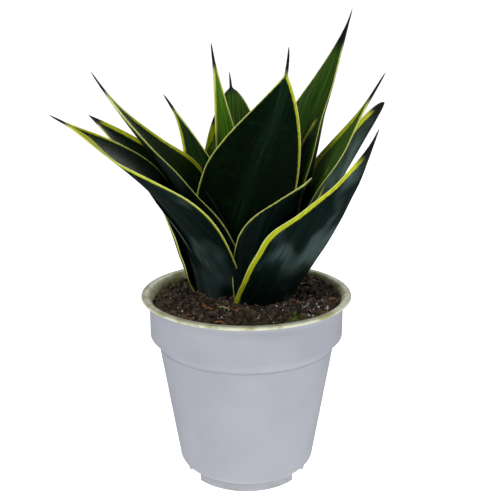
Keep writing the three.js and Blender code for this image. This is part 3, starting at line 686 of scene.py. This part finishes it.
def blade(leaf, seed):
    """A blade's rings of points, underside first and then the upper side back, and what each
    point stores for the material."""
    rows, columns = BLADE_ROWS, BLADE_COLUMNS
    rng = random.Random(seed)
    share = 1 - (1 - np.linspace(0, 1, rows + 1)) ** ROW_CROWDING
    points, slope = spine_of(leaf, share)
    across, facing = blade_frames(leaf, share, slope)
    half = half_width(leaf, share)
    foot_cup = leaf["base"] * leaf["width"] / 2 / leaf["foot"]
    middle, tip = (math.radians(angle) for angle in leaf["cup"])
    cup = foot_cup * (1 - share) * (1 - 2 * share) + middle * 4 * share * (1 - share)
    cup = cup + tip * share * (2 * share - 1)
    body = np.interp(share, BODY_STATIONS, BODY_THICKNESS)
    body = np.minimum(body, half * 1.6)

    step = np.linspace(-1, 1, columns + 1)
    place = np.sin(step * math.pi / 2)
    ring = np.concatenate([place, place[-2:0:-1]])
    upper = np.concatenate([np.zeros(columns + 1), np.ones(columns - 1)])
    sign = np.concatenate([-np.ones(columns + 1), np.ones(columns - 1)])

    v = ring[None, :]
    angle = cup[:, None] * v
    out = half[:, None] * np.sin(angle) / cup[:, None]
    lift = half[:, None] * (1 - np.cos(angle)) / cup[:, None]
    waves, phase = rng.uniform(1.2, 2.2), rng.uniform(0, 2 * math.pi)
    wobble = np.sin(2 * math.pi * waves * share[:, None] + phase + np.where(v < 0, 2.1, 0))
    shift = phase * 2 + np.where(v < 0, 0.7, 0)
    wobble += 0.5 * np.sin(2 * math.pi * waves * 2.3 * share[:, None] + shift)
    size = RUFFLE * np.sin(math.pi * np.clip(share, 0, 1))[:, None] * np.abs(v) ** 2.5
    lift = lift + wobble * size * np.clip(half / 14, 0, 1)[:, None]
    edge_round = np.sqrt(np.clip(1 - np.abs(v) ** 9, 0, 1))
    thick = (EDGE_THICKNESS + (body[:, None] - EDGE_THICKNESS) * (1 - v ** 2)) * edge_round
    thick = np.minimum(thick, body[:, None])
    groove = GROOVE_DEPTH * np.cos(v * GROOVES * math.pi) * (1 - v ** 2)
    groove = groove * np.clip(half / 10, 0, 1)[:, None]
    offset = sign[None, :] * thick / 2 + np.where(upper[None, :] > 0, 0, -1) * groove
    made = points[:, None, :] + (out - offset * np.sin(angle))[..., None] * across[:, None, :]
    made = made + (lift + offset * np.cos(angle))[..., None] * facing[:, None, :]

    length = np.linalg.norm(np.diff(points, axis=0), axis=1).sum()
    horn = leaf.get("horn", HORN)
    left, right = (np.interp(share, MARGIN_STATIONS, leaf[side])[:, None] for side in ("left", "right"))
    band = np.where(v > 0, left, right)
    wide = np.broadcast_to(v, thick.shape)
    along = np.broadcast_to(share[:, None] * length, thick.shape)
    stored = {
        "leaf_place": np.stack([wide * half[:, None], along, np.full(thick.shape, seed * 17.0)],
                               axis=-1).reshape(-1, 3),
        "leaf_edge": (half[:, None] * (1 - np.abs(wide))).ravel(),
        "leaf_band": (band + np.zeros(thick.shape)).ravel(),
        "leaf_upper": np.broadcast_to(upper, thick.shape).ravel(),
        "leaf_keel": np.exp(-(wide * half[:, None] / KEEL_WIDTH) ** 2).ravel(),
        # how far the leaf goes to its light yellow green, partly a painted glow of light shining through
        "leaf_pale": np.full(thick.size, leaf["pale"]),
        # how much grey waxy bloom, with its painted sheen, the underside shows
        "leaf_bloom_and_sheen": np.full(thick.size, leaf["bloom_and_sheen"]),
        "leaf_tip": np.repeat(smooth(1.04 - horn * 1.4, 1.04 - horn, share), thick.shape[1]),
    }
    return made, stored


def make_leaf(name, leaf, seed, material):
    rings, stored = blade(leaf, seed)
    rows, count = rings.shape[:2]
    faces = grid_faces(rows, count, closed=True)
    faces.append(tuple(range(count))[::-1])
    faces.append(tuple(range((rows - 1) * count, rows * count)))
    made = new_mesh(name + "_blade", rings.reshape(-1, 3), faces)
    for key, values in stored.items():
        attribute(made, key, values)
    finish_piece(made, material, sharp=60)
    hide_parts(name)


def make_leaves():
    material = leaf_material()
    for seed, (name, leaf) in enumerate(LEAVES.items(), start=1):
        make_leaf(name, leaf, seed, material)


# ------------------------------------------------------------------ potting mix


def soil_height(x, y):
    """The mix's surface: heaped to one side, with low waves, clods and grains."""
    slope = heading(SOIL_HEAP_TOWARDS, SOIL_HEAP / COLLAR_RADIUS)
    lumps = math.sin(x * 0.31 + y * 0.17) * math.cos(y * 0.27 - x * 0.11)
    clods = noise.noise(Vector((x * 0.16, y * 0.16, 3.0)))
    crumbs = noise.fractal(Vector((x * 0.55, y * 0.55, 7.0)), 0.8, 2.1, 4)
    grains = noise.noise(Vector((x * 2.1, y * 2.1, 11.0)))
    height = SOIL_TOP + slope[0] * x + slope[1] * y + SOIL_LUMPS * lumps
    return height + 0.9 * clods + 0.75 * crumbs + 0.35 * grains


def make_soil():
    angles = np.linspace(0, 2 * math.pi, SOIL_SEGMENTS, endpoint=False)
    rings = [[(radius * math.cos(a), radius * math.sin(a), height) for a in angles]
             for radius, height in SOIL_SKIRT]
    for i in range(SOIL_RINGS):
        radius = SOIL_EDGE * (1 - i / SOIL_RINGS)
        ring = []
        for a in angles:
            x, y = radius * math.cos(a), radius * math.sin(a)
            ring.append((x, y, soil_height(x, y)))
        rings.append(ring)
    points = [point for ring in rings for point in ring]
    faces = grid_faces(len(rings), SOIL_SEGMENTS, closed=True)
    last = (len(rings) - 1) * SOIL_SEGMENTS
    points.append((0, 0, soil_height(0, 0)))
    points.append((0, 0, SOIL_FLOOR))
    for i in range(SOIL_SEGMENTS):
        after = (i + 1) % SOIL_SEGMENTS
        faces.append((last + i, last + after, len(points) - 2))
        faces.append((after, i, len(points) - 1))
    soil = new_mesh("potting_mix_surface", points, faces)
    finish_piece(soil, soil_material(), sharp=180)
    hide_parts("potting_mix")


def unit_lump():
    """A ball of radius 1 with 80 small faces, that every loose bit is made from."""
    t = (1 + math.sqrt(5)) / 2
    corners = [(-1, t, 0), (1, t, 0), (-1, -t, 0), (1, -t, 0), (0, -1, t), (0, 1, t),
               (0, -1, -t), (0, 1, -t), (t, 0, -1), (t, 0, 1), (-t, 0, -1), (-t, 0, 1)]
    faces = [(0, 11, 5), (0, 5, 1), (0, 1, 7), (0, 7, 10), (0, 10, 11), (1, 5, 9), (5, 11, 4),
             (11, 10, 2), (10, 7, 6), (7, 1, 8), (3, 9, 4), (3, 4, 2), (3, 2, 6), (3, 6, 8),
             (3, 8, 9), (4, 9, 5), (2, 4, 11), (6, 2, 10), (8, 6, 7), (9, 8, 1)]
    points = [np.array(corner) / np.linalg.norm(corner) for corner in corners]
    middles = {}
    finer = []

    def middle(a, b):
        key = (min(a, b), max(a, b))
        if key not in middles:
            middles[key] = len(points)
            between = points[a] + points[b]
            points.append(between / np.linalg.norm(between))
        return middles[key]

    for a, b, c in faces:
        ab, bc, ca = middle(a, b), middle(b, c), middle(c, a)
        finer += [(a, ab, ca), (b, bc, ab), (c, ca, bc), (ab, bc, ca)]
    return np.array(points), finer


LUMP = unit_lump()


def random_turn(rng):
    """The matrix of a random rotation."""
    q = np.array([rng.gauss(0, 1) for _ in range(4)])
    w, x, y, z = q / np.linalg.norm(q)
    return np.array([[1 - 2 * (y * y + z * z), 2 * (x * y - z * w), 2 * (x * z + y * w)],
                     [2 * (x * y + z * w), 1 - 2 * (x * x + z * z), 2 * (y * z - x * w)],
                     [2 * (x * z - y * w), 2 * (y * z + x * w), 1 - 2 * (x * x + y * y)]])


def bit(rng, centre, size, rough=0.3, lie_flat=False):
    """One loose bit: a lump of three radii, roughened and turned."""
    points, faces = LUMP
    scale = 1 + rough * np.array([[rng.uniform(-1, 1)] for _ in points])
    shaped = points * scale * np.array(size)
    if lie_flat:
        shaped = turned(shaped, rng.uniform(0, 360))
    else:
        shaped = shaped @ random_turn(rng).T
    return shaped + np.array(centre), faces


def scatter(name, count, seed, choose, size, material, rough=0.3, lie_flat=False, sunk=0.25):
    """A piece of many loose bits, where choose gives each one's place on the mix."""
    rng = random.Random(seed)
    parts, tones = [], []
    for _ in range(count):
        x, y = choose(rng)
        radii = size(rng)
        height = soil_height(x, y) + radii[2] * (1 - 2 * sunk)
        parts.append(bit(rng, (x, y, height), radii, rough, lie_flat))
        tones += [rng.random()] * len(LUMP[0])
    made = new_mesh(name, *joined(parts))
    attribute(made, "bit_tone", tones)
    finish_piece(made, material, sharp=50)


def anywhere(rng):
    """A place on the open ring of mix round the crown."""
    while True:
        radius = (SOIL_EDGE - 1.2) * math.sqrt(rng.random())
        place = heading(rng.uniform(0, 360), radius)
        if math.hypot(place[0] - CROWN[0], place[1] - CROWN[1]) > 16:
            return place[0], place[1]


def near(x, y, spread):
    """Chooses places about one spot, kept inside the pot."""
    def choose(rng):
        while True:
            place = (rng.gauss(x, spread), rng.gauss(y, spread))
            if math.hypot(*place) < SOIL_EDGE - 1.0:
                return place
    return choose


def along_rim(start, end, depth):
    """Chooses places close to the pot's wall, between two directions."""
    def choose(rng):
        place = heading(rng.uniform(start, end), SOIL_EDGE - abs(rng.gauss(0, depth)) - 0.6)
        return place[0], place[1]
    return choose


def make_loose_bits():
    """Peat all over, bark mostly front left, perlite to the right, and moss by the rim."""
    peat = grain_material("peat_crumb", rgb(0.007, 0.006, 0.004), rgb(0.12, 0.085, 0.05),
                          0.85, 900.0, 0.0004)
    bark = grain_material("bark_chip", rgb(0.05, 0.022, 0.009), rgb(0.32, 0.14, 0.045),
                          0.8, 700.0, 0.0004)
    perlite = grain_material("perlite", rgb(0.42, 0.41, 0.38), rgb(0.80, 0.80, 0.78),
                             0.75, 1500.0, 0.0002)
    moss = grain_material("moss", rgb(0.02, 0.035, 0.004), rgb(0.20, 0.25, 0.02),
                          0.8, 1300.0, 0.0003)

    def cube(low, high):
        return lambda rng: tuple(rng.uniform(low, high) * rng.uniform(0.7, 1.0) for _ in range(3))

    def chip(low, high):
        def size(rng):
            long = rng.uniform(low, high)
            return long, long * rng.uniform(0.3, 0.6), long * rng.uniform(0.12, 0.25)
        return size

    scatter("peat_crumbs", 1500, 11, anywhere, cube(0.35, 1.25), peat, rough=0.4)
    scatter("peat_clods", 130, 12, anywhere, cube(1.2, 2.4), peat, rough=0.4, sunk=0.35)
    scatter("peat_against_rim", 420, 13, along_rim(0, 360, 1.2), cube(0.4, 1.3), peat,
            rough=0.4, sunk=0.1)
    scatter("bark_chips", 110, 14, anywhere, chip(0.9, 2.6), bark, rough=0.25, lie_flat=True, sunk=0.0)
    scatter("bark_at_left", 46, 15, near(-26, -30, 5), chip(0.7, 2.0), bark,
            rough=0.3, lie_flat=True, sunk=0.0)
    scatter("perlite_at_right", 70, 16, near(30, -16, 5.5), cube(0.3, 0.85), perlite, rough=0.25)
    scatter("perlite_scattered", 60, 17, anywhere, cube(0.25, 0.6), perlite, rough=0.25)
    scatter("moss_at_right", 110, 18, near(24, -30, 3.2), chip(0.6, 1.7), moss, rough=0.35, sunk=0.0)
    scatter("moss_along_rim", 200, 19, along_rim(-120, -30, 0.8), cube(0.3, 0.8), moss,
            rough=0.4, sunk=0.0)
    scatter("moss_at_back", 120, 20, along_rim(120, 215, 0.9), cube(0.3, 0.9), moss,
            rough=0.4, sunk=0.0)


def tube(points, radii, sides=8):
    """Points and faces of a closed tube along a line of points."""
    points = np.array(points, float)
    tangents = np.gradient(points, axis=0)
    tangents /= np.linalg.norm(tangents, axis=1)[:, None]
    side = np.cross(tangents[0], (0.3, 0.1, 1.0))
    rings = []
    for point, tangent, radius in zip(points, tangents, radii):
        side = side - tangent * side.dot(tangent)
        side /= np.linalg.norm(side)
        other = np.cross(tangent, side)
        for i in range(sides):
            turn = 2 * math.pi * i / sides
            rings.append(point + radius * (side * math.cos(turn) + other * math.sin(turn)))
    faces = grid_faces(len(points), sides, closed=True)
    faces.append(tuple(range(sides))[::-1])
    faces.append(tuple(range((len(points) - 1) * sides, len(points) * sides)))
    return np.array(rings), faces


def make_twigs():
    """Straw and root threads lying on the mix, and three longer bits by the front leaves."""
    straw = grain_material("dry_straw", rgb(0.16, 0.12, 0.05), rgb(0.55, 0.48, 0.26), 0.7, 500.0, 0.0002)
    rng = random.Random(31)
    parts, tones = [], []

    def thread(start, degrees, length, radius, lift):
        steps = 9
        line = []
        bend = rng.uniform(-50, 50)
        for i in range(steps):
            share = i / (steps - 1)
            place = np.array(start) + heading(degrees + bend * share * 0.5, length * share)[:2]
            height = soil_height(*place) + radius + lift * math.sin(math.pi * share) + 0.3
            line.append((place[0], place[1], height))
        taper = [radius * (1 - 0.5 * i / steps) for i in range(steps)]
        points, faces = tube(line, taper)
        parts.append((points, faces))
        tones.extend([rng.random()] * len(points))

    thread((-13, -14), 125, 9, 0.35, 1.4)
    thread((-13, -14), -35, 8, 0.4, 1.0)
    thread((-20, -14), -95, 10, 0.28, 0.8)
    for _ in range(46):
        x, y = anywhere(rng)
        thread((x * 0.9, y * 0.9), rng.uniform(0, 360), rng.uniform(2, 7), rng.uniform(0.08, 0.2), 0.3)
    made = new_mesh("straw_threads", *joined(parts))
    attribute(made, "bit_tone", tones)
    finish_piece(made, straw, sharp=50)


# ------------------------------------------------------------------ underground stem


def stem_material():
    n = Nodes("buried_stem", 0.75)
    tone = n.noise(n.place(), 300.0, 5.0)
    n.colour(n.mix(n.ramp(tone, 0.35, 0.65), rgb(0.22, 0.13, 0.06), rgb(0.45, 0.30, 0.16)))
    n.bump(tone, 0.0006)
    return n.material


def dress_stem():
    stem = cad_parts["underground_stem"]
    stem.data.materials.clear()
    stem.data.materials.append(stem_material())


# ------------------------------------------------------------------ studio


def make_floor():
    reach = FLOOR_REACH
    mesh = bpy.data.meshes.new("floor")
    corners = [(-reach, -reach, 0), (reach, -reach, 0), (reach, reach, 0), (-reach, reach, 0)]
    mesh.from_pydata(corners, [], [(0, 1, 2, 3)])
    floor = bpy.data.objects.new("floor", mesh)
    bpy.context.scene.collection.objects.link(floor)
    mesh.materials.append(floor_material())
    floor.visible_glossy = False


def area_light(name, place, size, watts, tint):
    light = bpy.data.lights.new(name, "AREA")
    light.shape = "DISK"
    light.size = size
    light.energy = watts
    light.color = tint
    made = bpy.data.objects.new(name, light)
    bpy.context.scene.collection.objects.link(made)
    made.location = place
    made.rotation_euler = (Vector(LIGHT_AIM) - Vector(place)).to_track_quat("-Z", "Y").to_euler()


def make_lights():
    for light in LIGHTS:
        area_light(*light)
    world = bpy.data.worlds.new("studio")
    bpy.context.scene.world = world
    world.use_nodes = True
    tree = world.node_tree
    background = tree.nodes["Background"]
    background.inputs["Color"].default_value = (1.0, 1.0, 1.0, 1.0)
    seen = tree.nodes.new("ShaderNodeLightPath").outputs["Is Camera Ray"]
    strength = tree.nodes.new("ShaderNodeMapRange")
    strength.inputs["To Min"].default_value = WORLD_LIGHT
    strength.inputs["To Max"].default_value = WORLD_SEEN
    tree.links.new(seen, strength.inputs["Value"])
    tree.links.new(strength.outputs["Result"], background.inputs["Strength"])


def make_camera():
    """A little below the tallest leaf's tip, looking slightly down at the pot's front."""
    data = bpy.data.cameras.new("camera")
    data.sensor_width = SENSOR_WIDTH
    data.lens = LENS
    camera = bpy.data.objects.new("camera", data)
    bpy.context.scene.collection.objects.link(camera)
    camera.location = AXIS + CAMERA_PLACE * MM
    camera.rotation_euler = (math.radians(90 - CAMERA_DIP), 0, 0)
    bpy.context.scene.camera = camera


# ------------------------------------------------------------------ making


make_camera()
make_floor()
make_lights()
make_pot()
make_leaves()
make_soil()
make_loose_bits()
make_twigs()
dress_stem()
bpy.context.scene.view_settings.view_transform = "Standard"
